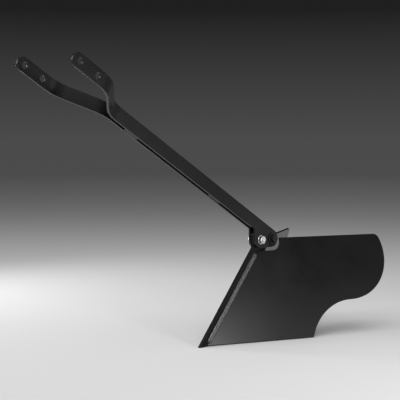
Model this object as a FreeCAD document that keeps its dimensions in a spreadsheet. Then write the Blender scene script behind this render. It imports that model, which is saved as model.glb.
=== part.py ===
"""A hand tiller's ridger: a V-shaped plough that a forked shank tows behind the tines.

The plough is a raked knife with a flat wing welded to each side of it and a brace between the wings.
The shank is two flat bars with the knife's head between their feet and a clevis at their upper ends.
One bolt is the pivot on which the plough pitches, the other one locks it in an arc slot.

Millimetres. +Z is up, the tip points along -Y, and the ridger's left is +X. While the pieces are built
the tip is at the origin. The whole model then moves so that the origin is the middle of its footprint.
"""
import FreeCAD, Part
import math
import os

import Sketcher

DOC = FreeCAD.newDocument("ridger")

# Driving dimensions, in millimetres and degrees.
SIZES = {
    # Knife: a flat plate that leans back from its tip.
    "knife_thick": 6.0,
    "knife_run": 40.0,
    "rake": 48.1,
    "head_wall": 13.0,
    "head_corner": 5.0,
    "head_cover": 1.0,
    # Wings: flat plates, laid out with x along the bottom edge and y up the plate.
    "wing_thick": 4.0,
    "wing_angle": 25.0,
    "wing_setback": 26.0,
    "wing_rise": 169.6,
    "wing_foot": 196.0,
    "lobe_across": 286.5,
    "lobe_up": 146.5,
    "lobe_round": 84.0,
    "lobe_corner": 12.0,
    "notch_gap": 1.0,
    "notch_corner": 18.0,
    # Brace: a flat bar on edge between the wings.
    "brace_thick": 4.0,
    "brace_tall": 25.0,
    "brace_back": 160.0,
    "brace_up": 62.0,
    # Shank: two flat bars side by side.
    "flat_thick": 4.0,
    "flat_wide": 22.0,
    "side_play": 0.3,
    "shank_lift": 28.9,
    "pivot_back": 188.5,
    "pivot_up": 169.5,
    "lock_reach": 34.5,
    "shank_rise": 3.9,
    "foot_round": 15.0,
    "foot_long": 60.0,
    "fork_start": 450.0,
    "fork_spread": 54.0,
    "fork_flare": 41.0,
    "fork_bend": 45.0,
    "ear_long": 78.0,
    "ear_round": 10.0,
    "eye_bore": 10.5,
    "eye_edge": 14.0,
    "eye_pitch": 38.0,
    "spacer_long": 32.0,
    "spacer_wide": 17.0,
    "spacer_low": 150.0,
    "spacer_high": 372.0,
    # Fasteners.
    "bolt_thread": 8.0,
    "pin_play": 0.05,
    "thread_play": 0.1,
    "hole_play": 0.3,
    "hex_flats": 13.0,
    "hex_bevel": 0.33,
    "head_tall": 5.3,
    "nut_tall": 6.5,
    "pivot_washer": 22.0,
    "lock_washer": 16.0,
    "washer_thick": 1.6,
    "thread_end": 3.0,
    "thread_bevel": 1.0,
    "pitch_range": 6.0,
}


def make_sheet():
    """Put each driving dimension in a cell of the spreadsheet, under its own alias."""
    sheet = DOC.addObject("Spreadsheet::Sheet", "sizes")
    for row, (name, value) in enumerate(SIZES.items(), start=1):
        sheet.set("A%d" % row, name)
        sheet.set("B%d" % row, str(value))
        sheet.setAlias("B%d" % row, name)
    DOC.recompute()
    return sheet


SHEET = make_sheet()


def named(expression):
    """Write the sheet's name before each dimension in an expression."""
    words = []
    word = ""
    for letter in expression + " ":
        if letter.isalnum() or letter == "_":
            word += letter
            continue
        words.append("sizes." + word if word in SIZES else word)
        words.append(letter)
        word = ""
    return "".join(words).strip()


def size(expression):
    """The value of an expression in the sheet's dimensions."""
    value = SHEET.evalExpression(named(expression))
    return float(getattr(value, "Value", value))


def bind(thing, **expressions):
    """Bind an object's properties to the sheet."""
    for name, expression in expressions.items():
        thing.setExpression(name, named(expression))


# Places that several pieces share, as expressions. RUN is how far the knife leans back for each
# millimetre of height, LEAN is how much longer a wing is up its plate than it is tall, and LEAD is
# how far the plate's front edge moves along the wing for each millimetre up the plate.
RUN = "(1 / tan(rake))"
LEAN = "sqrt(1 + (%s * sin(wing_angle))^2)" % RUN
LEAD = "(%s * cos(wing_angle) / %s)" % (RUN, LEAN)
GAP = "(knife_thick + 2 * side_play)"
STACK = "(%s / 2 + flat_thick + washer_thick)" % GAP
BAR_HALF = "(flat_wide / 2)"
HEEL = "(%s + shank_rise)" % BAR_HALF
LOCK_BACK = "(pivot_back - lock_reach)"
SLOT_HALF = "(bolt_thread / 2 + hole_play)"
HEX_ROUND = "(hex_flats / sqrt(3))"
FORK_OUT = "(fork_start + fork_spread / tan(fork_flare))"
SHANK_END = "(%s + ear_long)" % FORK_OUT


class Outline:
    """A closed sketch: corners pinned by expressions, joined by lines and arcs."""

    def __init__(self, body, name, offset=FreeCAD.Placement()):
        self.sketch = body.newObject("Sketcher::SketchObject", name)
        plane = [one for one in body.Origin.OriginFeatures if one.Role == "XY_Plane"][0]
        self.sketch.AttachmentSupport = [(plane, "")]
        self.sketch.MapMode = "FlatFace"
        self.sketch.AttachmentOffset = offset
        self.count = 0

    def limit(self, kind, value, expression, *where):
        """Add a constraint of one dimension and bind it to the sheet."""
        self.count += 1
        number = self.sketch.addConstraint(Sketcher.Constraint(kind, *where, value))
        self.sketch.renameConstraint(number, "size%d" % self.count)
        self.sketch.setExpression("Constraints.size%d" % self.count, named(expression))

    def pin(self, edge, end, across, up):
        """Hold one point of an edge at a place given by two expressions."""
        for kind, expression in (("DistanceX", across), ("DistanceY", up)):
            value = size(expression)
            self.limit(kind, value, expression, -1, 1, edge, end)

    def path(self, corners):
        """corners: (across, up, arc) each, where arc is None for a line to the next corner, or
        (radius, turn) with turn +1 for an arc that runs anticlockwise and -1 for clockwise."""
        spots = [FreeCAD.Vector(size(across), size(up), 0) for across, up, _ in corners]
        edges = []
        for index, (across, up, arc) in enumerate(corners):
            start = spots[index]
            end = spots[(index + 1) % len(spots)]
            if arc is None:
                edges.append(self.sketch.addGeometry(Part.LineSegment(start, end), False))
                continue
            radius, turn = arc
            edges.append(self.sketch.addGeometry(arc_between(start, end, size(radius), turn), False))
        for index, (across, up, arc) in enumerate(corners):
            after = (index + 1) % len(corners)
            last = 2 if arc is None or arc[1] > 0 else 1
            first = 1 if corners[after][2] is None or corners[after][2][1] > 0 else 2
            join = Sketcher.Constraint("Coincident", edges[index], last, edges[after], first)
            self.sketch.addConstraint(join)
        for index, (across, up, arc) in enumerate(corners):
            first = 1 if arc is None or arc[1] > 0 else 2
            self.pin(edges[index], first, across, up)
            if arc is not None:
                self.limit("Radius", size(arc[0]), arc[0], edges[index])
        return self.sketch

    def hole(self, across, up, radius):
        """A circle whose centre and radius are expressions."""
        centre = FreeCAD.Vector(size(across), size(up), 0)
        circle = Part.Circle(centre, FreeCAD.Vector(0, 0, 1), size(radius))
        edge = self.sketch.addGeometry(circle, False)
        self.pin(edge, 3, across, up)
        self.limit("Radius", size(radius), radius, edge)
        return self.sketch


def arc_between(start, end, radius, turn):
    """The arc of less than half a circle from start to end, anticlockwise where turn is +1."""
    chord = end.sub(start)
    half = chord.Length / 2
    rise = math.sqrt(max(radius * radius - half * half, 0))
    side = FreeCAD.Vector(-chord.y, chord.x, 0).normalize()
    centre = start.add(chord.multiply(0.5)).add(side.multiply(rise * turn))
    circle = Part.Circle(centre, FreeCAD.Vector(0, 0, 1), radius)
    first = math.atan2(start.y - centre.y, start.x - centre.x)
    last = math.atan2(end.y - centre.y, end.x - centre.x)
    if turn < 0:
        first, last = last, first
    if last < first:
        last += 2 * math.pi
    return Part.ArcOfCircle(circle, first, last)


def new_body(label):
    body = DOC.addObject("PartDesign::Body", label)
    body.Label = label
    return body


def pad(body, sketch, length, midplane=False):
    feature = body.newObject("PartDesign::Pad", sketch.Name + "_pad")
    feature.Profile = sketch
    feature.Midplane = midplane
    bind(feature, Length=length)
    sketch.Visibility = False
    DOC.recompute()
    return feature


def pocket_through(body, sketch):
    """Cut a sketch through the whole body, to both sides of its plane, and test that it cut."""
    before = body.Shape.Volume
    feature = body.newObject("PartDesign::Pocket", sketch.Name + "_pocket")
    feature.Profile = sketch
    feature.Midplane = True
    feature.Type = "ThroughAll"
    DOC.recompute()
    if body.Shape.Volume > before - 1:
        raise RuntimeError(sketch.Name + " cut nothing")
    return feature


# Directions. A sketch in the ridger's side plane has +Y as its first axis and +Z as its second.
SIDE = FreeCAD.Rotation(FreeCAD.Vector(0, 1, 0), FreeCAD.Vector(0, 0, 1), FreeCAD.Vector(1, 0, 0))


def wing_turn():
    """The left wing's directions: along its bottom edge, up the plate, and out of its face."""
    spread = math.radians(size("wing_angle"))
    run = size(RUN)
    along = FreeCAD.Vector(math.sin(spread), math.cos(spread), 0)
    out = FreeCAD.Vector(math.cos(spread), -math.sin(spread), run * math.sin(spread)).normalize()
    return FreeCAD.Rotation(along, out.cross(along), out)


def shank_turn():
    """The shank's directions: up along it, to the ridger's left, and across its width."""
    lift = math.radians(size("shank_lift"))
    along = FreeCAD.Vector(0, -math.cos(lift), math.sin(lift))
    return FreeCAD.Rotation(along, FreeCAD.Vector(1, 0, 0), FreeCAD.Vector(0, math.sin(lift), math.cos(lift)))


def pivot_place():
    return FreeCAD.Vector(0, size("pivot_back"), size("pivot_up"))


def lock_place():
    return FreeCAD.Vector(0, size(LOCK_BACK), size("pivot_up"))


def shank_place():
    """Where the shank's middle line passes above the pivot."""
    return pivot_place().add(shank_turn().multVec(FreeCAD.Vector(0, 0, size("shank_rise"))))


def wing_place():
    return FreeCAD.Vector(size("knife_thick / 2"), size("wing_setback"), 0)


# Every object that is placed by hand, so that the whole model can move to its origin at the end.
PLACED = []


def place(thing, where, turn=FreeCAD.Rotation()):
    thing.Placement = FreeCAD.Placement(where, turn)
    PLACED.append(thing)
    return thing


def make_knife():
    """The raked plate, its head with the pivot hole, and the arc slot that the lock bolt runs in."""
    body = new_body("knife")
    front = "(%s - foot_round + head_cover)" % LOCK_BACK
    low = "(pivot_up - head_wall)"
    top = "(pivot_up + head_wall)"
    corners = [
        ("0", "0", None),
        ("knife_run", "0", None),
        ("knife_run + %s * %s" % (low, RUN), low, None),
        ("pivot_back", low, ("head_wall", 1)),
        ("pivot_back + head_wall", "pivot_up", ("head_wall", 1)),
        ("pivot_back", top, None),
        ("%s + head_corner" % front, top, ("head_corner", 1)),
        (front, "%s - head_corner" % top, None),
        (front, "%s / %s" % (front, RUN), None),
    ]
    plate = Outline(body, "knife_plate").path(corners)
    pad(body, plate, "knife_thick", midplane=True)
    bore = Outline(body, "knife_bore").hole("pivot_back", "pivot_up", "bolt_thread / 2 + pin_play")
    pocket_through(body, bore)
    pocket_through(body, slot_outline(body))
    return place(body, FreeCAD.Vector(0, 0, 0), SIDE)


def slot_outline(body):
    """The arc slot, centred on the pivot, long enough for the pitch range each way."""

    def spot(reach, swing, beyond="0"):
        """A point at a reach from the pivot, swung down by an angle, and moved on along the arc."""
        across = "pivot_back - %s * cos(%s) + %s * sin(%s)" % (reach, swing, beyond, swing)
        up = "pivot_up - %s * sin(%s) - %s * cos(%s)" % (reach, swing, beyond, swing)
        return across, up

    inner = "(lock_reach - %s)" % SLOT_HALF
    outer = "(lock_reach + %s)" % SLOT_HALF
    down = "pitch_range"
    up = "(-1 * pitch_range)"
    corners = [
        (*spot(outer, up), (outer, 1)),
        (*spot(outer, down), (SLOT_HALF, 1)),
        (*spot("lock_reach", down, SLOT_HALF), (SLOT_HALF, 1)),
        (*spot(inner, down), (inner, -1)),
        (*spot(inner, up), (SLOT_HALF, 1)),
        (*spot("lock_reach", up, "(-1 * %s)" % SLOT_HALF), (SLOT_HALF, 1)),
    ]
    return Outline(body, "knife_slot").path(corners)


def make_wings():
    """The left wing's plate, its front edge cut flush with the knife's side, and its mirror image.

    Its notch stays clear of the shank's toe when the plough pitches up, and of the pivot's nut."""
    body = new_body("wing_plate")
    top = "(wing_rise * %s)" % LEAN
    tilt = "(wing_thick * %s * sin(wing_angle) / %s)" % (RUN, LEAN)
    ledge = "(pivot_up - foot_round - tan(pitch_range) * lock_reach - notch_gap - %s)" % tilt
    shelf = "(%s * %s)" % (ledge, LEAN)
    cheek = "(wing_thick * sin(wing_angle) * %s)" % LEAN
    behind = "(pivot_back + %s + notch_gap + %s - wing_setback)" % (HEX_ROUND, cheek)
    wall = "((%s - pivot_up * %s * sin(wing_angle)^2) / cos(wing_angle))" % (behind, RUN)
    drop = "(lobe_up - lobe_round)"
    inward = "(lobe_across - wing_foot)"
    hollow = "((%s^2 + %s^2) / (2 * %s))" % (inward, drop, drop)
    inset = "(lobe_round - lobe_corner)"
    climb = "(%s - lobe_corner - lobe_up)" % top
    slide = "sqrt(%s^2 - %s^2)" % (inset, climb)
    spare = "(2 * wing_thick)"
    beyond = "(2 * %s)" % spare
    corners = [
        ("-1 * %s" % spare, "0", None),
        ("wing_foot", "0", (hollow, -1)),
        ("lobe_across", drop, ("lobe_round", 1)),
        ("lobe_across + lobe_round", "lobe_up", ("lobe_round", 1)),
        (
            "lobe_across + %s * lobe_round / %s" % (slide, inset),
            "lobe_up + %s * lobe_round / %s" % (climb, inset),
            ("lobe_corner", 1),
        ),
        ("lobe_across + %s" % slide, top, None),
        (wall, top, None),
        (wall, "%s + notch_corner" % shelf, ("notch_corner", -1)),
        ("%s - notch_corner" % wall, shelf, None),
        ("%s * %s - %s" % (shelf, LEAD, spare), shelf, None),
    ]
    plate = Outline(body, "wing_outline").path(corners)
    pad(body, plate, "wing_thick")
    place(body, wing_place(), wing_turn())
    beside = DOC.addObject("Part::Box", "knife_side")
    bind(beside, Length=beyond, Width="2 * wing_foot", Height="2 * wing_rise")
    corner = ("knife_thick / 2 - %s" % beyond, "-0.5 * wing_foot", "-0.5 * wing_rise")
    place(beside, FreeCAD.Vector(*(size(one) for one in corner)))
    left = cut(body, beside, "wing_left")
    return [left, mirrored(left, "wing_right")]


def make_brace():
    """A flat bar on edge from wing to wing, its ends cut to the wings' inner faces."""
    bar = DOC.addObject("Part::Box", "brace_bar")
    bind(bar, Length="wing_foot", Width="brace_thick", Height="brace_tall")
    place(bar, FreeCAD.Vector(size("-0.5 * wing_foot"), size("brace_back"), size("brace_up")))
    beyond = DOC.addObject("Part::Box", "brace_end_left")
    bind(beyond, Length="2 * wing_foot", Width="2 * wing_rise", Height="wing_foot")
    start = FreeCAD.Vector(size("-0.5 * wing_foot"), size("-0.5 * wing_rise"), 0)
    place(beyond, wing_place().add(wing_turn().multVec(start)), wing_turn())
    half = cut(bar, beyond, "brace_half")
    return [cut(half, mirrored(beyond, "brace_end_right"), "rear_brace")]


def make_flats():
    """The shank's left flat bar and its mirror image: a foot, a straight run, and a bent-out ear."""
    body = new_body("shank_flat_left")
    ribbon = Outline(body, "flat_ribbon", ribbon_plane()).path(ribbon_corners())
    pad(body, ribbon, "flat_wide", midplane=True)
    inner_face = FreeCAD.Placement(FreeCAD.Vector(0, 0, size("%s / 2" % GAP)), FreeCAD.Rotation())
    foot = Outline(body, "flat_foot", inner_face).path(foot_corners())
    plate = pad(body, foot, "flat_thick")
    round_ear(body, plate)
    holes = Outline(body, "flat_holes")
    holes.hole("pivot_back", "pivot_up", "bolt_thread / 2 + hole_play")
    holes.hole(LOCK_BACK, "pivot_up", "bolt_thread / 2 + hole_play")
    for step in (0, 1):
        along = "(%s - eye_edge - %d * eye_pitch)" % (SHANK_END, step)
        across = "pivot_back - %s * cos(shank_lift) + shank_rise * sin(shank_lift)" % along
        up = "pivot_up + %s * sin(shank_lift) + shank_rise * cos(shank_lift)" % along
        holes.hole(across, up, "eye_bore / 2")
    pocket_through(body, holes.sketch)
    place(body, FreeCAD.Vector(0, 0, 0), SIDE)
    return [body, mirrored(body, "shank_flat_right")]


def ribbon_plane():
    """The plane along the shank's middle that holds its length and the ridger's width."""
    lift = math.radians(size("shank_lift"))
    along = FreeCAD.Vector(-math.cos(lift), math.sin(lift), 0)
    across = FreeCAD.Vector(math.sin(lift), math.cos(lift), 0)
    turn = FreeCAD.Rotation(along, FreeCAD.Vector(0, 0, 1), across)
    middle = FreeCAD.Vector(size("pivot_back"), size("pivot_up"), 0).add(across.multiply(size("shank_rise")))
    return FreeCAD.Placement(middle, turn)


def ribbon_corners():
    """The bar's edge as seen from above the shank: straight, bent out, and bent back to the ear.

    Each bend has the radius fork_bend on its inside and a bar's thickness more on its outside."""
    inner = "(%s / 2)" % GAP
    outer = "(%s + flat_thick)" % inner
    wide = "(fork_bend + flat_thick)"
    shift = "(tan(fork_flare / 2) * flat_thick)"
    tight_run = "(tan(fork_flare / 2) * fork_bend)"
    wide_run = "(tan(fork_flare / 2) * %s)" % wide
    outer_start = "(fork_start - %s)" % shift
    outer_out = "(%s - %s)" % (FORK_OUT, shift)
    inner_ear = "(%s + fork_spread)" % inner
    outer_ear = "(%s + fork_spread)" % outer

    def slanted(along, side, run):
        """A point on the slanted stretch, a run away from a bend's corner."""
        return "%s + %s * cos(fork_flare)" % (along, run), "%s + %s * sin(fork_flare)" % (side, run)

    return [
        ("0", inner, None),
        ("fork_start - %s" % wide_run, inner, (wide, 1)),
        (*slanted("fork_start", inner, wide_run), None),
        (*slanted(FORK_OUT, inner_ear, "(-1 * %s)" % tight_run), ("fork_bend", -1)),
        ("%s + %s" % (FORK_OUT, tight_run), inner_ear, None),
        (SHANK_END, inner_ear, None),
        (SHANK_END, outer_ear, None),
        ("%s + %s" % (outer_out, wide_run), outer_ear, (wide, 1)),
        (*slanted(outer_out, outer_ear, "(-1 * %s)" % wide_run), None),
        (*slanted(outer_start, outer, tight_run), ("fork_bend", -1)),
        ("%s - %s" % (outer_start, tight_run), outer, None),
        ("0", outer, None),
    ]


def foot_corners():
    """The foot from the side: a heel round the pivot that the bar's upper edge runs off, and a toe
    round the lock bolt whose straight front meets the bar's lower edge."""

    def beside(along, off):
        """A point some way up the shank from the pivot and off to its upper side."""
        across = "pivot_back - %s * cos(shank_lift) + %s * sin(shank_lift)" % (along, off)
        return across, "pivot_up + %s * sin(shank_lift) + %s * cos(shank_lift)" % (along, off)

    def around(centre, radius, angle):
        """A point on a round corner, at an angle from straight back."""
        return "%s + %s * cos(%s)" % (centre, radius, angle), "pivot_up + %s * sin(%s)" % (radius, angle)

    lower = "(shank_rise - %s)" % BAR_HALF
    front = "(%s - foot_round)" % LOCK_BACK
    chin = "pivot_up + (pivot_back - %s) * tan(shank_lift) + %s / cos(shank_lift)" % (front, lower)
    under = "(-90 deg - asin((%s - foot_round) / lock_reach))" % HEEL
    return [
        (*beside("0", HEEL), None),
        (*beside("foot_long", HEEL), None),
        (*beside("foot_long", lower), None),
        (front, chin, None),
        (front, "pivot_up", ("foot_round", 1)),
        (*around(LOCK_BACK, "foot_round", under), None),
        (*around("pivot_back", HEEL, under), (HEEL, 1)),
        ("pivot_back + %s" % HEEL, "pivot_up", (HEEL, 1)),
    ]


def round_ear(body, base):
    """Round the two corners at the ear's end."""
    lift = math.radians(size("shank_lift"))
    along = FreeCAD.Vector(-math.cos(lift), math.sin(lift), 0)
    start = FreeCAD.Vector(size("pivot_back"), size("pivot_up"), 0)
    names = []
    for number, edge in enumerate(base.Shape.Edges, start=1):
        reach = [vertex.Point.sub(start).dot(along) for vertex in edge.Vertexes]
        flat = abs(edge.Vertexes[0].Z - edge.Vertexes[-1].Z) > size("flat_thick") / 2
        if flat and min(reach) > size(SHANK_END) - 0.01:
            names.append("Edge%d" % number)
    fillet = body.newObject("PartDesign::Fillet", "ear_corners")
    fillet.Base = (base, names)
    bind(fillet, Radius="ear_round")
    DOC.recompute()


def make_spacers():
    """Blocks as thick as the knife with its play, welded between the two flats."""
    spacers = []
    for label, along in (("spacer_lower", "spacer_low"), ("spacer_upper", "spacer_high")):
        block = DOC.addObject("Part::Box", label)
        block.Label = label
        bind(block, Length="spacer_long", Width=GAP, Height="spacer_wide")
        start = FreeCAD.Vector(size(along), size("-0.5 * %s" % GAP), size("-0.5 * spacer_wide"))
        place(block, shank_place().add(shank_turn().multVec(start)), shank_turn())
        spacers.append(block)
    return spacers


def make_fasteners(name, where, washer):
    """A bolt through the head with its hexagon on the left, two washers, and a nut on the right."""
    pieces = [make_bolt(name, where), make_nut(name, where)]
    for side, start in (("left", "%s - washer_thick" % STACK), ("right", "-1 * %s" % STACK)):
        disc = rod("%s_disc_%s" % (name, side), where, start, washer + " / 2", "washer_thick")
        bore = rod("%s_bore_%s" % (name, side), where, start, "bolt_thread / 2 + hole_play", "washer_thick")
        pieces.append(cut(disc, bore, "%s_washer_%s" % (name, side)))
    return pieces


def make_bolt(name, where):
    """A hexagon head on the left washer and a stem that ends in a bevelled point beyond the nut."""
    head = hexagon("%s_head" % name, where, STACK, "head_tall", 1)
    end = "(-1 * (%s + nut_tall + thread_end))" % STACK
    reach = "%s - thread_bevel - %s" % (STACK, end)
    body = rod("%s_stem" % name, where, "%s + thread_bevel" % end, "bolt_thread / 2", reach)
    point = DOC.addObject("Part::Cone", "%s_point" % name)
    bind(point, Radius1="bolt_thread / 2 - thread_bevel", Radius2="bolt_thread / 2", Height="thread_bevel")
    place(point, where.add(FreeCAD.Vector(size(end), 0, 0)), SIDE)
    bolt = DOC.addObject("Part::MultiFuse", "%s_bolt" % name)
    bolt.Shapes = [head, body, point]
    bolt.Refine = True
    bolt.Label = "%s_bolt" % name
    return bolt


def make_nut(name, where):
    """A nut on the right washer; its bore is plain and clears the bolt's stem by the thread's play."""
    start = "(-1 * (%s + nut_tall))" % STACK
    block = hexagon("%s_block" % name, where, start, "nut_tall", -1)
    bore = rod("%s_thread" % name, where, start, "bolt_thread / 2 + thread_play", "nut_tall")
    return cut(block, bore, "%s_nut" % name)


def hexagon(name, where, start, tall, way):
    """A hexagon whose corners are turned off by a cone on its outer face; way is +1 where that
    face is on the ridger's left."""
    prism = DOC.addObject("Part::Prism", name + "_prism")
    prism.Polygon = 6
    bind(prism, Circumradius=HEX_ROUND, Height=tall)
    face = "(hex_flats / 2 - hex_bevel)"
    base = "%s + %s * sqrt(3)" % (face, tall)
    cone = DOC.addObject("Part::Cone", name + "_cone")
    bind(cone, Height=tall, Radius1=base if way > 0 else face, Radius2=face if way > 0 else base)
    for shape in (prism, cone):
        place(shape, where.add(FreeCAD.Vector(size(start), 0, 0)), SIDE)
    common = DOC.addObject("Part::Common", name)
    common.Base = prism
    common.Tool = cone
    return common


def rod(name, where, start, radius, length):
    """A round bar along the ridger's width."""
    cylinder = DOC.addObject("Part::Cylinder", name)
    bind(cylinder, Radius=radius, Height=length)
    return place(cylinder, where.add(FreeCAD.Vector(size(start), 0, 0)), SIDE)


def cut(base, tool, label):
    piece = DOC.addObject("Part::Cut", label)
    piece.Base = base
    piece.Tool = tool
    piece.Label = label
    return piece


def mirrored(source, label):
    """The mirror image of a piece in the ridger's middle plane."""
    image = DOC.addObject("Part::Mirroring", label)
    image.Source = source
    image.Normal = FreeCAD.Vector(1, 0, 0)
    image.Label = label
    return image


def move_to_origin(pieces):
    """Move the model so that the origin is under its middle, on the ground."""
    box = FreeCAD.BoundBox()
    for piece in pieces:
        box.add(piece.Shape.optimalBoundingBox(False))
    shift = FreeCAD.Placement(FreeCAD.Vector(0, -box.Center.y, -box.ZMin), FreeCAD.Rotation())
    for thing in PLACED:
        thing.Placement = shift.multiply(thing.Placement)
    DOC.recompute()
    print("moved by", tuple(round(value, 4) for value in shift.Base))


def check(pieces):
    """Stop on an object that failed or a piece that isn't one valid solid."""
    for thing in DOC.Objects:
        if "Invalid" in thing.State or "Error" in thing.State:
            raise RuntimeError("%s failed: %s" % (thing.Label, thing.State))
    for piece in pieces:
        shape = piece.Shape
        if shape.isNull() or not shape.isValid() or len(shape.Solids) != 1:
            raise RuntimeError("%s is not one valid solid" % piece.Label)


def main():
    pieces = [make_knife()]
    pieces += make_wings()
    pieces += make_brace()
    pieces += make_flats()
    pieces += make_spacers()
    pieces += make_fasteners("pivot", pivot_place(), "pivot_washer")
    pieces += make_fasteners("lock", lock_place(), "lock_washer")
    DOC.recompute()
    check(pieces)
    move_to_origin(pieces)
    check(pieces)
    os.makedirs("parts", exist_ok=True)
    for piece in pieces:
        piece.Shape.exportStep("parts/%s.step" % piece.Label)
        centre = piece.Shape.Solids[0].CenterOfMass
        print(piece.Label, round(piece.Shape.Volume, 1), tuple(round(value, 2) for value in centre))


main()
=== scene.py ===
"""Dresses the ridger: eased steel plates in black powder coat, weld beads, and threaded fasteners.

Metres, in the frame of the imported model: +Z is up, the tip points along -Y, the ridger's left is +X.
"""
import math

import bmesh
import bpy
from mathutils import Matrix, Vector

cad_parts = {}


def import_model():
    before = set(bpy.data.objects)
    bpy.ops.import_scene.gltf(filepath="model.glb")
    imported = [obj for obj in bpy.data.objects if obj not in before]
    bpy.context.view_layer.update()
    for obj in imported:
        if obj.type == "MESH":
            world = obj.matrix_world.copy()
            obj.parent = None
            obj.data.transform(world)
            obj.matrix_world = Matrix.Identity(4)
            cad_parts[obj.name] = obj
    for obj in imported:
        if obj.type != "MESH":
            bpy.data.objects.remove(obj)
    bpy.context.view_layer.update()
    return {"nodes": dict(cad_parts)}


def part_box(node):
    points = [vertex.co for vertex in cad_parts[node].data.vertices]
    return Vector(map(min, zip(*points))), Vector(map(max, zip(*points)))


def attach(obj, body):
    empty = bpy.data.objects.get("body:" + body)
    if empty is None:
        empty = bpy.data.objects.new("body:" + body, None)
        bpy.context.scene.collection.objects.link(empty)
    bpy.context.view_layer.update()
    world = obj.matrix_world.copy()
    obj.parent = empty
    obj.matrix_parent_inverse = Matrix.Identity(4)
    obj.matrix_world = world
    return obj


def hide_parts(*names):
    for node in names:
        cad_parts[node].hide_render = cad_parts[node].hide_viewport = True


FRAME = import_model()
NODES = FRAME["nodes"]

MM = 0.001

# Each wing, and its side of the middle plane.
WINGS = (("wing_left", 1.0), ("wing_right", -1.0))


# ---------------------------------------------------------------- node trees


class Socket:
    """A node's output that can stand in a Python expression: each operator adds a Math node."""

    def __init__(self, tree, output):
        self.tree = tree
        self.output = output

    def __add__(self, other):
        return self.tree.number("ADD", self, other)

    def __radd__(self, other):
        return self.tree.number("ADD", other, self)

    def __sub__(self, other):
        return self.tree.number("SUBTRACT", self, other)

    def __rsub__(self, other):
        return self.tree.number("SUBTRACT", other, self)

    def __mul__(self, other):
        return self.tree.number("MULTIPLY", self, other)

    def __rmul__(self, other):
        return self.tree.number("MULTIPLY", other, self)

    def __truediv__(self, other):
        return self.tree.number("DIVIDE", self, other)

    def __rtruediv__(self, other):
        return self.tree.number("DIVIDE", other, self)

    def limited(self, low=0.0, high=1.0):
        """The value, held between two limits."""
        return self.tree.number("MINIMUM", self.tree.number("MAXIMUM", self, low), high)


class Tree:
    """A node tree, in a material, in the world or in Geometry Nodes."""

    def __init__(self, data):
        self.data = data

    def node(self, kind, sockets=None, out=0, **settings):
        """Add a node: its settings first, then its sockets by name or number, as values or links."""
        node = self.data.nodes.new(kind)
        for name, value in settings.items():
            setattr(node, name, value)
        for name, value in (sockets or {}).items():
            self.feed(node.inputs[name], value)
        return Socket(self, node.outputs[out])

    def feed(self, socket, value):
        """Give an input its link or its plain value."""
        if isinstance(value, Socket):
            self.data.links.new(value.output, socket)
        else:
            socket.default_value = value

    def number(self, operation, *terms):
        """Work out a number from numbers or sockets."""
        return self.node("ShaderNodeMath", dict(enumerate(terms)), operation=operation)

    def vector(self, operation, *terms, out=0):
        """Work out a vector, or its length, from vectors."""
        return self.node("ShaderNodeVectorMath", dict(enumerate(terms)), out=out, operation=operation)

    def scaled(self, vector, share):
        """A vector times a number."""
        return self.node("ShaderNodeVectorMath", {"Vector": vector, "Scale": share}, operation="SCALE")

    def span(self, value, start, end):
        """How far a value is from a start to an end, from 0 to 1 and held at both."""
        limits = {"Value": value, "From Min": start, "From Max": end}
        return self.node("ShaderNodeMapRange", limits, clamp=True)

    def blend(self, share, first, second):
        """Mix two colours."""
        mixed = {"Factor": share, "A": first, "B": second}
        return self.node("ShaderNodeMix", mixed, out="Result", data_type="RGBA")


# ---------------------------------------------------------------- finishes

WHITE = (1.0, 1.0, 1.0)


def opaque(shade, share=1.0):
    """A shade times a share, as an opaque colour."""
    return (*[share * part for part in shade], 1.0)


class Finish(Tree):
    """A material whose Principled shader reads Object coordinates."""

    def __init__(self, name, **plain):
        self.material = bpy.data.materials.new(name)
        self.material.use_nodes = True
        super().__init__(self.material.node_tree)
        self.shader = self.data.nodes["Principled BSDF"]
        self.place = self.node("ShaderNodeTexCoord", out="Object")
        self.set(**plain)

    def set(self, **values):
        """Feed the shader's sockets; an underscore in a name stands for a space."""
        for socket, value in values.items():
            self.feed(self.shader.inputs[socket.replace("_", " ")], value)

    def noise(self, size, detail=3.0, roughness=0.5, stretch=None):
        """Noise whose features are about one size across, in metres."""
        where = self.place
        if stretch:
            where = self.node("ShaderNodeMapping", {"Vector": where, "Scale": stretch})
        pattern = {"Vector": where, "Scale": 1.0 / size, "Detail": detail, "Roughness": roughness}
        return self.node("ShaderNodeTexNoise", pattern, out="Fac")

    def bump(self, height, distance, strength):
        """Raise the surface by a height in shares of a distance in metres."""
        lifted = {"Height": height, "Distance": distance, "Strength": strength}
        self.set(Normal=self.node("ShaderNodeBump", lifted, out="Normal"))


def powder_coat(name, shade, gloss, sheen, peel=0.0022, clouds=0.07):
    """Satin powder coat: fine orange peel, a cloudy gloss from handling and a few hairline rubs.

    gloss is its middling roughness and sheen its share of mirror light. peel and clouds are how far
    across its dimples and its cloudy patches are."""
    coat = Finish(name, Metallic=0.0, IOR=1.5, Specular_IOR_Level=sheen)
    dimples = coat.noise(peel, 2.0, 0.45)
    speck = coat.noise(0.0006, 1.0)
    cloud = coat.noise(clouds, 4.0, 0.55)
    rubs = coat.span(coat.noise(0.011, 3.0, 0.5, stretch=(1.0, 0.35, 6.0)), 0.66, 0.74)
    clean = coat.blend(coat.span(cloud, 0.3, 0.75), opaque(shade, 0.86), opaque(shade, 1.14))
    rough = gloss + (cloud - 0.5) * 0.14 + (speck - 0.5) * 0.05 + rubs * 0.06
    coat.set(Base_Color=coat.blend(rubs * 0.35, clean, opaque(shade, 2.4)), Roughness=rough.limited(0.2, 0.8))
    coat.bump(dimples * 0.75 + speck * 0.25 - rubs * 0.15, 0.00006, 0.18)
    return coat.material


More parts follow.
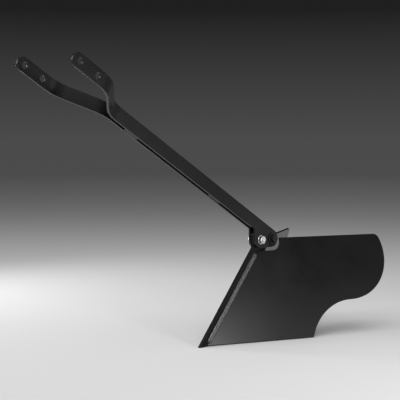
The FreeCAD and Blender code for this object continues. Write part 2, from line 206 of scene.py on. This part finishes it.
def bright_zinc(name):
    """Clear-passivated zinc plate on a bolt: small crystals, and a faint blue and straw cast."""
    zinc = Finish(name, Metallic=1.0)
    crystals = zinc.noise(0.0009, 3.0, 0.6)
    cast = zinc.span(zinc.noise(0.006, 2.0), 0.35, 0.65)
    rough = 0.26 + (crystals - 0.5) * 0.22
    zinc.set(
        Base_Color=zinc.blend(cast, opaque((0.68, 0.71, 0.75)), opaque((0.76, 0.74, 0.67))),
        Roughness=rough.limited(0.12, 0.5),
    )
    zinc.bump(crystals, 0.000012, 0.4)
    return zinc.material


def black_oxide(name):
    """Blackened steel: a thin dark skin, oily in patches, with a steely gleam where it is thin."""
    steel = Finish(name)
    thin = steel.span(steel.noise(0.0035, 4.0, 0.6), 0.52, 0.72)
    grain = steel.noise(0.0007, 2.0)
    rough = 0.42 - thin * 0.1 + (grain - 0.5) * 0.12
    steel.set(
        Base_Color=steel.blend(thin, opaque((0.022, 0.022, 0.023)), opaque((0.075, 0.074, 0.072))),
        Metallic=0.55 + thin * 0.35,
        Roughness=rough.limited(0.2, 0.7),
    )
    steel.bump(grain, 0.00003, 0.4)
    return steel.material


PLOUGH_COAT = powder_coat("plough_black_coat", (0.0062, 0.0064, 0.0066), 0.29, 0.3)
# The knife wears the wings' black paint with its shade set a little darker: painted shade along its narrow
# band.
SHADED_KNIFE_COAT = powder_coat("knife_black_coat", (0.005, 0.0051, 0.0053), 0.33, 0.13, clouds=0.03)
SHANK_COAT = powder_coat("shank_black_coat", (0.0062, 0.0063, 0.0065), 0.31, 0.27, clouds=0.045)
# The beads wear the plates' black paint with its shade set about two and a half times lighter: painted
# highlight along the welds.
LIT_WELD_COAT = powder_coat("coated_weld", (0.016, 0.0162, 0.0165), 0.27, 1.0, peel=0.0012, clouds=0.02)
ZINC = bright_zinc("zinc_plate")
BLACK_STEEL = black_oxide("blackened_steel")


# ---------------------------------------------------------------- pieces


def link(name, mesh, finish):
    """Link a mesh as an object at the origin, smooth, with its finish."""
    mesh.materials.clear()
    mesh.materials.append(finish)
    piece = bpy.data.objects.new(name, mesh)
    bpy.context.scene.collection.objects.link(piece)
    mesh.shade_smooth()
    return piece


def ease(piece, width, sharp):
    """Round over the edges that turn by more than a sharp angle in degrees, and keep flat faces flat."""
    bevel = piece.modifiers.new("eased_edges", "BEVEL")
    bevel.width = width
    bevel.segments = 3
    bevel.limit_method = "ANGLE"
    bevel.angle_limit = math.radians(sharp)
    bevel.use_clamp_overlap = False
    weighted = piece.modifiers.new("flat_faces_stay_flat", "WEIGHTED_NORMAL")
    weighted.mode = "FACE_AREA"
    weighted.weight = 100


def dress(piece, body, slot, *nodes):
    """Let a piece ride on its body in place of the nodes that it stands for. The slot is not used."""
    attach(piece, body)
    if nodes:
        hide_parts(*nodes)


def points(node):
    """The corners of a node's own shape."""
    return [vertex.co.copy() for vertex in NODES[node].data.vertices]


def plate(node, body, finish, slot, edge):
    """The node's own shape with its edges rounded over, as shearing, blasting and coating leave them."""
    mesh = bpy.data.meshes.new(node + "_plate")
    shape = bmesh.new()
    shape.from_mesh(NODES[node].data)
    bmesh.ops.remove_doubles(shape, verts=shape.verts, dist=0.01 * MM)
    flat = math.radians(0.5)
    bmesh.ops.dissolve_limit(
        shape, angle_limit=flat, verts=shape.verts, edges=shape.edges, use_dissolve_boundaries=False
    )
    shape.to_mesh(mesh)
    shape.free()
    piece = link(node + "_coated", mesh, finish)
    ease(piece, edge, 30.0)
    dress(piece, body, slot, node)


def gather(name, meshes, finish):
    """Join plain meshes as one closed piece whose faces point outwards."""
    shape = bmesh.new()
    for mesh in meshes:
        shape.from_mesh(mesh)
        bpy.data.meshes.remove(mesh)
    bmesh.ops.recalc_face_normals(shape, faces=shape.faces)
    joined = bpy.data.meshes.new(name)
    shape.to_mesh(joined)
    shape.free()
    return link(name, joined, finish)


class Shape(Tree):
    """A Geometry Nodes tree with named inputs, whose result is taken as a plain mesh."""

    def __init__(self, name, **inputs):
        group = bpy.data.node_groups.new(name, "GeometryNodeTree")
        super().__init__(group)
        group.interface.new_socket("Geometry", in_out="OUTPUT", socket_type="NodeSocketGeometry")
        self.identifiers = {}
        for label, kind in inputs.items():
            socket = group.interface.new_socket(label, in_out="INPUT", socket_type="NodeSocket" + kind)
            self.identifiers[label] = socket.identifier
        entry = group.nodes.new("NodeGroupInput")
        self.inputs = {label: Socket(self, entry.outputs[label]) for label in inputs}

    def grid(self, along, around):
        """A grid's geometry, and its two running shares from 0 to 1."""
        counts = {"Size X": 1.0, "Size Y": 1.0, "Vertices X": along, "Vertices Y": around}
        mesh = self.node("GeometryNodeMeshGrid", counts)
        place = self.node("GeometryNodeInputPosition")
        shares = [self.node("ShaderNodeSeparateXYZ", {"Vector": place}, out=axis) + 0.5 for axis in "XY"]
        return mesh, *shares

    def finish_with(self, mesh, place):
        """Move the points to their place, weld seams and poles, make it real and give it its material."""
        moved = self.node("GeometryNodeSetPosition", {"Geometry": mesh, "Position": place})
        welded = self.node("GeometryNodeMergeByDistance", {"Geometry": moved, "Distance": 0.004 * MM})
        real = self.node("GeometryNodeRealizeInstances", {"Geometry": welded})
        coated = self.node("GeometryNodeSetMaterial", {"Geometry": real, "Material": self.inputs["finish"]})
        ending = self.data.nodes.new("NodeGroupOutput")
        self.feed(ending.inputs[0], coated)

    def make(self, **values):
        """The plain mesh for one set of inputs."""
        carrier = bpy.data.objects.new("carrier", bpy.data.meshes.new("carrier"))
        bpy.context.scene.collection.objects.link(carrier)
        modifier = carrier.modifiers.new("shape", "NODES")
        modifier.node_group = self.data
        for label, value in values.items():
            modifier[self.identifiers[label]] = value
        graph = bpy.context.evaluated_depsgraph_get()
        graph.update()
        mesh = bpy.data.meshes.new_from_object(carrier.evaluated_get(graph))
        bpy.data.objects.remove(carrier)
        return mesh


# ---------------------------------------------------------------- welds


def bead_tree():
    """A weld bead in the corner between two faces: crescent ripples, uneven toes, rounded ends.

    start and end lie on the corner line, and lift points out of the corner between the faces. The toes
    stand half_width to each side and toe_rise up, and the crown swells above them."""
    bead = Shape(
        "weld_bead", start="Vector", end="Vector", lift="Vector", half_width="Float", toe_rise="Float",
        crown="Float", ripple="Float", seed="Float", finish="Material",
    )
    given = bead.inputs
    run = bead.vector("SUBTRACT", given["end"], given["start"])
    length = bead.vector("LENGTH", run, out="Value")
    rows_a_ripple = 6.0
    points_around = 21
    mesh, share, turn = bead.grid(length / given["ripple"] * rows_a_ripple + 2.0, points_around)
    travel = share * length
    angle = turn * math.tau
    cosine = bead.number("COSINE", angle)
    sine = bead.number("SINE", angle)

    # The wobble runs along the bead and closes on itself around it.
    wander = 7.0 * MM
    track = {"X": travel / wander, "Y": given["seed"] + sine * 0.2, "Z": cosine * 0.3}
    where = bead.node("ShaderNodeCombineXYZ", track)
    wobble = bead.node("ShaderNodeTexNoise", {"Vector": where, "Scale": 1.0, "Detail": 2.0}) - 0.5

    # Each ripple is a crescent that trails at the toes, and they don't follow each other evenly.
    trail = 0.8
    uneven = 0.7
    phase = bead.number("FRACT", travel / given["ripple"] - cosine * cosine * trail + wobble * uneven)
    wave = bead.number("SINE", phase * math.pi)
    ridge = wave * wave

    # The ends are rounded over one half width, and the underside goes just past the corner line.
    near_end = bead.number("MINIMUM", share, 1.0 - share) * length / given["half_width"]
    short = 1.0 - near_end.limited()
    taper = bead.number("SQRT", 1.0 - short * short)
    upper = bead.number("MAXIMUM", sine, 0.0)
    lower = bead.number("MAXIMUM", sine * -1.0, 0.0)
    past_corner = 1.1
    waver = wobble * 0.3
    swell = given["crown"] * upper * (0.86 + ridge * 0.1 + waver)
    rise = (given["toe_rise"] * (1.0 - lower * past_corner) + swell) * taper
    side = given["half_width"] * cosine * taper * (1.0 + waver + ridge * 0.02)

    across = bead.vector("NORMALIZE", bead.vector("CROSS_PRODUCT", run, given["lift"]))
    base = bead.vector("ADD", given["start"], bead.scaled(run, share))
    lifted = bead.vector("ADD", base, bead.scaled(given["lift"], rise))
    bead.finish_with(mesh, bead.vector("ADD", lifted, bead.scaled(across, side)))
    return bead


BEAD = bead_tree()
RIPPLE = 1.8 * MM

# A point this near to a face lies on it.
TOUCHING = 0.02 * MM


def weld(start, end, first, second, leg, crown, seed):
    """A fillet bead along a corner line, between faces with these outward normals."""
    lift = (first + second).normalized()
    half = (math.pi - first.angle(second)) / 2
    return BEAD.make(
        start=start, end=end, lift=lift, half_width=leg * math.sin(half), toe_rise=leg * math.cos(half),
        crown=crown, ripple=RIPPLE, seed=float(seed), finish=LIT_WELD_COAT,
    )


def face_normal(wing, hand):
    """The outward normal of a wing's broad outer face."""
    faces = [face for face in NODES[wing].data.polygons if face.normal.x * hand > 0.5]
    return max(faces, key=lambda face: face.area).normal.copy()


def knife_welds():
    """Beads down both sides of each wing where its plate butts on the knife, stopped short of its ends."""
    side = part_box("knife")[1].x
    stop = 5.0 * MM
    beads = []
    for number, (wing, hand) in enumerate(WINGS):
        edge = [spot for spot in points(wing) if abs(abs(spot.x) - side) < TOUCHING]
        halfway = sum(spot.z for spot in edge) / len(edge)
        low = [spot for spot in edge if spot.z < halfway]
        top = [spot for spot in edge if spot.z > halfway]
        cheek = Vector((hand, 0.0, 0.0))
        face = face_normal(wing, hand)
        outer = (min, face, 4.2 * MM, 0.9 * MM)
        inner = (max, -face, 5.0 * MM, 0.5 * MM)
        for pick, normal, leg, crown in (outer, inner):
            foot, head = (pick(spots, key=lambda spot: spot.y) for spots in (low, top))
            short = (head - foot).normalized() * stop
            seed = 11 + number + 10 * leg / MM
            beads.append(weld(foot + short, head - short, cheek, normal, leg, crown, seed))
    return beads


def brace_welds():
    """Upright beads where the flat bar between the wings meets them, before and behind."""
    low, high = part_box("rear_brace")
    bar = points("rear_brace")
    near = 0.5 * MM
    beads = []
    for wing, hand in WINGS:
        face = -face_normal(wing, hand)
        for back, way in ((low.y, -1.0), (high.y, 1.0)):
            side = [spot for spot in bar if abs(spot.y - back) < TOUCHING and spot.x * hand > 0]
            foot = max((spot for spot in side if spot.z < low.z + near), key=lambda spot: abs(spot.x))
            head = max((spot for spot in side if spot.z > high.z - near), key=lambda spot: abs(spot.x))
            normal = Vector((0.0, way, 0.0))
            seed = 31 + hand + back * 100
            beads.append(weld(foot, head, face, normal, 3.2 * MM, 0.5 * MM, seed))
    return beads


def middle(node):
    """The middle of a node's corners."""
    spots = points(node)
    return sum(spots, Vector()) / len(spots)


def spacer_welds():
    """Short beads along the blocks' edges, between the shank's two flats."""
    blocks = ("spacer_lower", "spacer_upper")
    rise = (middle(blocks[1]) - middle(blocks[0])).normalized()
    normal = Vector((0.0, rise.z, -rise.y))
    beads = []
    for number, node in enumerate(blocks):
        centre = middle(node)
        for up in (1.0, -1.0):
            edge = [spot for spot in points(node) if (spot - centre).dot(normal) * up > 0]
            for hand in (1.0, -1.0):
                rim = [spot for spot in edge if spot.x * hand > 0]
                foot = min(rim, key=lambda spot: spot.dot(rise))
                head = max(rim, key=lambda spot: spot.dot(rise))
                cheek = Vector((-hand, 0.0, 0.0))
                seed = 41 + number + up
                beads.append(weld(foot, head, cheek, normal * up, 2.0 * MM, 0.3 * MM, seed))
    return beads


# ---------------------------------------------------------------- fasteners


def rod_tree():
    """A bolt's rod along +Z from the origin, its last stretch cut with a helical thread."""
    rod = Shape(
        "threaded_rod", radius="Float", length="Float", thread="Float", pitch="Float", depth="Float",
        bevel="Float", finish="Material",
    )
    given = rod.inputs
    rows_a_turn = 8.0
    points_around = 49
    rows = rod.number("CEIL", given["length"] / given["pitch"] * rows_a_turn) + 3.0
    mesh, share, turn = rod.grid(rows, points_around)

    # The first row and the last are the two ends' middles, and the rows next to them are the ends' rims.
    row = rod.number("ROUND", share * (rows - 1.0))
    height = ((row - 1.0) / (rows - 3.0)).limited() * given["length"]
    open_row = rod.number("MINIMUM", row, rows - 1.0 - row).limited()

    # The thread's crest and root are narrow flats between its flanks, and it deepens over one pitch.
    steep = 2.6
    blunt = 0.15
    phase = rod.number("FRACT", height / given["pitch"] - turn)
    flank = (rod.number("ABSOLUTE", phase - 0.5) * steep - blunt).limited()
    run_in = ((height - given["length"] + given["thread"]) / given["pitch"]).limited()
    crest = given["radius"] - flank * run_in * given["depth"]
    to_end = rod.number("MINIMUM", height, given["length"] - height)
    tip = given["radius"] - given["bevel"] + to_end
    radius = rod.number("MINIMUM", crest, tip) * open_row
    angle = turn * math.tau
    spot = {"X": radius * rod.number("COSINE", angle), "Y": radius * rod.number("SINE", angle), "Z": height}
    rod.finish_with(mesh, rod.node("ShaderNodeCombineXYZ", spot))
    return rod


ROD = rod_tree()
THREAD_PITCH = 1.25 * MM
THREAD_DEPTH = 0.7 * MM
THREAD_LONG = 14.0 * MM
THREAD_PLAY = 0.03 * MM
THREAD_BEVEL = 1.0 * MM
BORE = 4.0 * MM
COUNTERSINK = 0.45 * MM
WASHER_FACE = 0.4 * MM
HEX_EDGE = 0.12 * MM

# Points along each side of a hexagon, and its round land's radius as a share of its flats.
HEX_STEPS = 12
HEX_LAND = 0.475


class Stock:
    """What a fastener's node gives for its threaded form: its place along X, its flats and its rod."""

    def __init__(self, node):
        self.low, self.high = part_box(node)
        self.centre = (self.low + self.high) / 2
        self.spots = points(node)
        deep = self.high.y - self.low.y
        tall = self.high.z - self.low.z
        self.flats = min(deep, tall)
        self.corners_up = tall > deep

    def off_axis(self, spot):
        """How far a point is from the fastener's axis."""
        return math.hypot(spot.y - self.centre.y, spot.z - self.centre.z)

    def head_start(self):
        """Where the head's underside lies: the lowest point of anything nearly as wide as the flats."""
        wide = 0.45 * self.flats
        return min(spot.x for spot in self.spots if self.off_axis(spot) > wide)

    def rod_radius(self):
        """The rod's radius, from the points along its last stretch."""
        last = self.low.x + 8 * MM
        return max(self.off_axis(spot) for spot in self.spots if spot.x < last)

    def along(self, start):
        """Carries a shape from +Z to +X at a start, with a hexagon's corners where the node's own are."""
        quarter = math.pi / 2
        place = Matrix.Translation((start, self.centre.y, self.centre.z))
        spin = Matrix.Rotation(0.0 if self.corners_up else quarter, 4, "Z")
        return place @ (Matrix.Rotation(quarter, 4, "Y") @ spin)


def hex_radius(flats, turn):
    """Distance from the axis to a hexagon's side, with corners at multiples of 60 degrees."""
    return flats / 2 / math.cos(turn % (math.pi / 3) - math.pi / 6)


def hex_rings(flats, low, high, profile_low, profile_high):
    """Rings of points for a hexagon whose corners are turned off at 30 degrees at both ends.

    Each profile is a list of (radius, height) from the turned edge inwards."""
    count = 6 * HEX_STEPS
    turns = [math.tau * step / count for step in range(count)]
    slope = math.tan(math.radians(30))

    def ring(radius, height):
        return [(radius * math.cos(turn), radius * math.sin(turn), height) for turn in turns]

    def corners(height, way):
        spots = []
        for turn in turns:
            radius = hex_radius(flats, turn)
            drop = max(radius - HEX_LAND * flats, 0.0) * slope
            spots.append((radius * math.cos(turn), radius * math.sin(turn), height - way * drop))
        return spots

    below = [ring(*step) for step in reversed(profile_low)]
    above = [ring(*step) for step in profile_high]
    return [*below, corners(low, -1.0), corners(high, 1.0), *above]


def ringed(rings, closed):
    """A mesh through rings of equal count along +Z; a closed one joins its last ring to its first."""
    shape = bmesh.new()
    rows = [[shape.verts.new(spot) for spot in ring] for ring in rings]
    pairs = list(zip(rows, rows[1:])) + ([(rows[-1], rows[0])] if closed else [])
    for low, high in pairs:
        for here in range(len(low)):
            there = (here + 1) % len(low)
            shape.faces.new((low[here], low[there], high[there], high[here]))
    bmesh.ops.remove_doubles(shape, verts=shape.verts, dist=0.001 * MM)
    mesh = bpy.data.meshes.new("turned")
    shape.to_mesh(mesh)
    shape.free()
    return mesh


def bolt(name, node, finish, slot):
    """Hex head with a shallow dish, plain rod and helical thread along the node's own axis."""
    stock = Stock(node)
    start = stock.head_start()
    tall = stock.high.x - start
    land = HEX_LAND * stock.flats
    dish = 0.55 * land
    lip = dish + 0.5 * MM
    underside = [(land, WASHER_FACE), (land, 0.0), (0.0, 0.0)]
    top = [(land, tall), (lip, tall - 0.02 * MM), (dish, tall - 0.3 * MM), (0.0, tall - 0.35 * MM)]
    head = ringed(hex_rings(stock.flats, WASHER_FACE, tall, underside, top), closed=False)
    rod = ROD.make(
        radius=stock.rod_radius() - THREAD_PLAY, length=start - stock.low.x, thread=THREAD_LONG,
        pitch=THREAD_PITCH, depth=THREAD_DEPTH, bevel=THREAD_BEVEL, finish=finish,
    )
    head.transform(stock.along(start))
    rod.transform(stock.along(start) @ Matrix.Rotation(math.pi, 4, "X"))
    piece = gather(name, [head, rod], finish)
    ease(piece, HEX_EDGE, 25.0)
    dress(piece, "shank", slot, node)


def nut(name, node, finish, slot):
    """Hex nut with both faces turned and a countersunk bore."""
    stock = Stock(node)
    tall = stock.high.x - stock.low.x
    land = HEX_LAND * stock.flats
    underside = [(land, 0.0), (BORE + COUNTERSINK, 0.0), (BORE, COUNTERSINK)]
    top = [(radius, tall - height) for radius, height in underside]
    mesh = ringed(hex_rings(stock.flats, 0.0, tall, underside, top), closed=True)
    mesh.transform(stock.along(stock.low.x))
    piece = gather(name, [mesh], finish)
    ease(piece, HEX_EDGE, 25.0)
    dress(piece, "shank", slot, node)


# ---------------------------------------------------------------- the ridger

PLATE_EDGE = 0.55 * MM
BAR_EDGE = 0.6 * MM
WASHER_EDGE = 0.3 * MM

plate("knife", "plough", SHADED_KNIFE_COAT, "plough_paint", PLATE_EDGE)
for node in ("wing_left", "wing_right", "rear_brace"):
    plate(node, "plough", PLOUGH_COAT, "plough_paint", PLATE_EDGE)
for node in ("shank_flat_left", "shank_flat_right", "spacer_lower", "spacer_upper"):
    plate(node, "shank", SHANK_COAT, "shank_paint", BAR_EDGE)
for kind, finish, slot in (("pivot", BLACK_STEEL, "dark_bolt"), ("lock", ZINC, "bright_bolt")):
    for side in ("left", "right"):
        plate("%s_washer_%s" % (kind, side), "shank", finish, slot, WASHER_EDGE)
    bolt(kind + "_hex_bolt", kind + "_bolt", finish, slot)
    nut(kind + "_hex_nut", kind + "_nut", finish, slot)

dress(gather("plough_weld_beads", knife_welds() + brace_welds(), LIT_WELD_COAT), "plough", "plough_paint")
dress(gather("shank_weld_beads", spacer_welds(), LIT_WELD_COAT), "shank", "shank_paint")


# ---------------------------------------------------------------- studio


def floor():
    """A pale, matte floor whose colour darkens with distance: painted shade."""
    ground = bpy.data.meshes.new("floor")
    reach = 40.0
    corners = [(-reach, -reach, 0.0), (reach, -reach, 0.0), (reach, reach, 0.0), (-reach, reach, 0.0)]
    ground.from_pydata(corners, [], [(0, 1, 2, 3)])
    paper = Finish("pale_floor", Roughness=0.9, Specular_IOR_Level=0.0)
    away = paper.vector("LENGTH", paper.place, out="Value")
    # Painted shade: from 1 m out to 9 m the floor's colour goes from 0.64 to 0.4 of white.
    painted_shade = paper.span(away, 1.0, 9.0)
    paper.set(Base_Color=paper.blend(painted_shade, opaque(WHITE, 0.64), opaque(WHITE, 0.4)))
    link("floor", ground, paper.material)


def world():
    """A dim grey room. The camera and reflections see a backdrop that darkens upwards in its place."""
    room = bpy.data.worlds.new("studio")
    room.use_nodes = True
    bpy.context.scene.world = room
    room.node_tree.nodes.remove(room.node_tree.nodes["Background"])
    sky = Tree(room.node_tree)

    def ray(kind):
        return sky.node("ShaderNodeLightPath", out="Is %s Ray" % kind)

    seen = (ray("Camera") + ray("Glossy") + ray("Transmission")).limited()
    facing = sky.node("ShaderNodeTexCoord", out="Generated")
    up = sky.node("ShaderNodeSeparateXYZ", {"Vector": facing}, out="Z")
    tone = sky.blend(sky.span(up, 0.0, 0.12), opaque(WHITE, 0.07), opaque(WHITE, 0.014))
    backdrop = sky.node("ShaderNodeBackground", {"Color": tone, "Strength": 1.0})
    walls = sky.node("ShaderNodeBackground", {"Color": opaque(WHITE, 0.5), "Strength": 0.35})
    both = sky.node("ShaderNodeMixShader", {0: seen, 1: walls, 2: backdrop})
    sky.feed(room.node_tree.nodes["World Output"].inputs["Surface"], both)


def turn_to(holder, place, aim):
    """Stand a lamp or the camera at a place, facing a point."""
    holder.location = place
    holder.rotation_euler = (Vector(aim) - Vector(place)).to_track_quat("-Z", "Y").to_euler()
    bpy.context.scene.collection.objects.link(holder)


def lamp(name, place, aim, width, height, power):
    """A soft rectangular lamp, in metres and watts, that the camera doesn't see."""
    light = bpy.data.lights.new(name, "AREA")
    light.shape = "RECTANGLE"
    light.size = width
    light.size_y = height
    light.energy = power
    holder = bpy.data.objects.new(name, light)
    holder.visible_camera = False
    turn_to(holder, place, aim)


def camera():
    """Low, off the ridger's left front and a little under its hitch, about 1.8 m from its middle."""
    lens = bpy.data.cameras.new("camera")
    lens.lens = 96.0
    holder = bpy.data.objects.new("camera", lens)
    turn_to(holder, (1.160, -1.336, 0.343), (-0.0151, -0.0084, 0.2438))
    bpy.context.scene.camera = holder


floor()
world()

# The softbox lights the whole from above, and the fill its front from the ridger's right.
lamp("overhead_softbox", (0.3, -0.25, 2.0), (0.05, 0.0, 0.0), 2.6, 2.6, 37.0)
lamp("left_fill", (-1.6, -1.5, 1.3), (0.0, 0.0, 0.2), 1.2, 1.2, 20.0)

# The strips and cards are what the satin coat mirrors: on both wings, then on the left weld, bar and bolt.
for side, hand in (("near", 1.0), ("far", -1.0)):
    lamp(side + "_strip", (hand * 1.12, 0.26, 0.42), (hand * 0.05, 0.11, 0.02), 0.9, 0.08, 0.6)
    lamp(side + "_card", (hand * 1.07, -0.07, 0.475), (hand * 0.019, 0.04, 0.021), 0.12, 0.12, 2.9)
lamp("weld_card", (1.09, 0.56, 0.155), (0.01, 0.04, 0.03), 0.15, 0.15, 1.0)
lamp("shank_card", (0.8, 0.7, 0.37), (0.025, -0.16, 0.345), 0.36, 0.28, 0.12)
lamp("bolt_card", (0.67, 0.895, 0.09), (0.042, 0.1256, 0.1695), 0.1, 0.1, 0.07)

camera()
bpy.context.scene.view_settings.view_transform = "Standard"
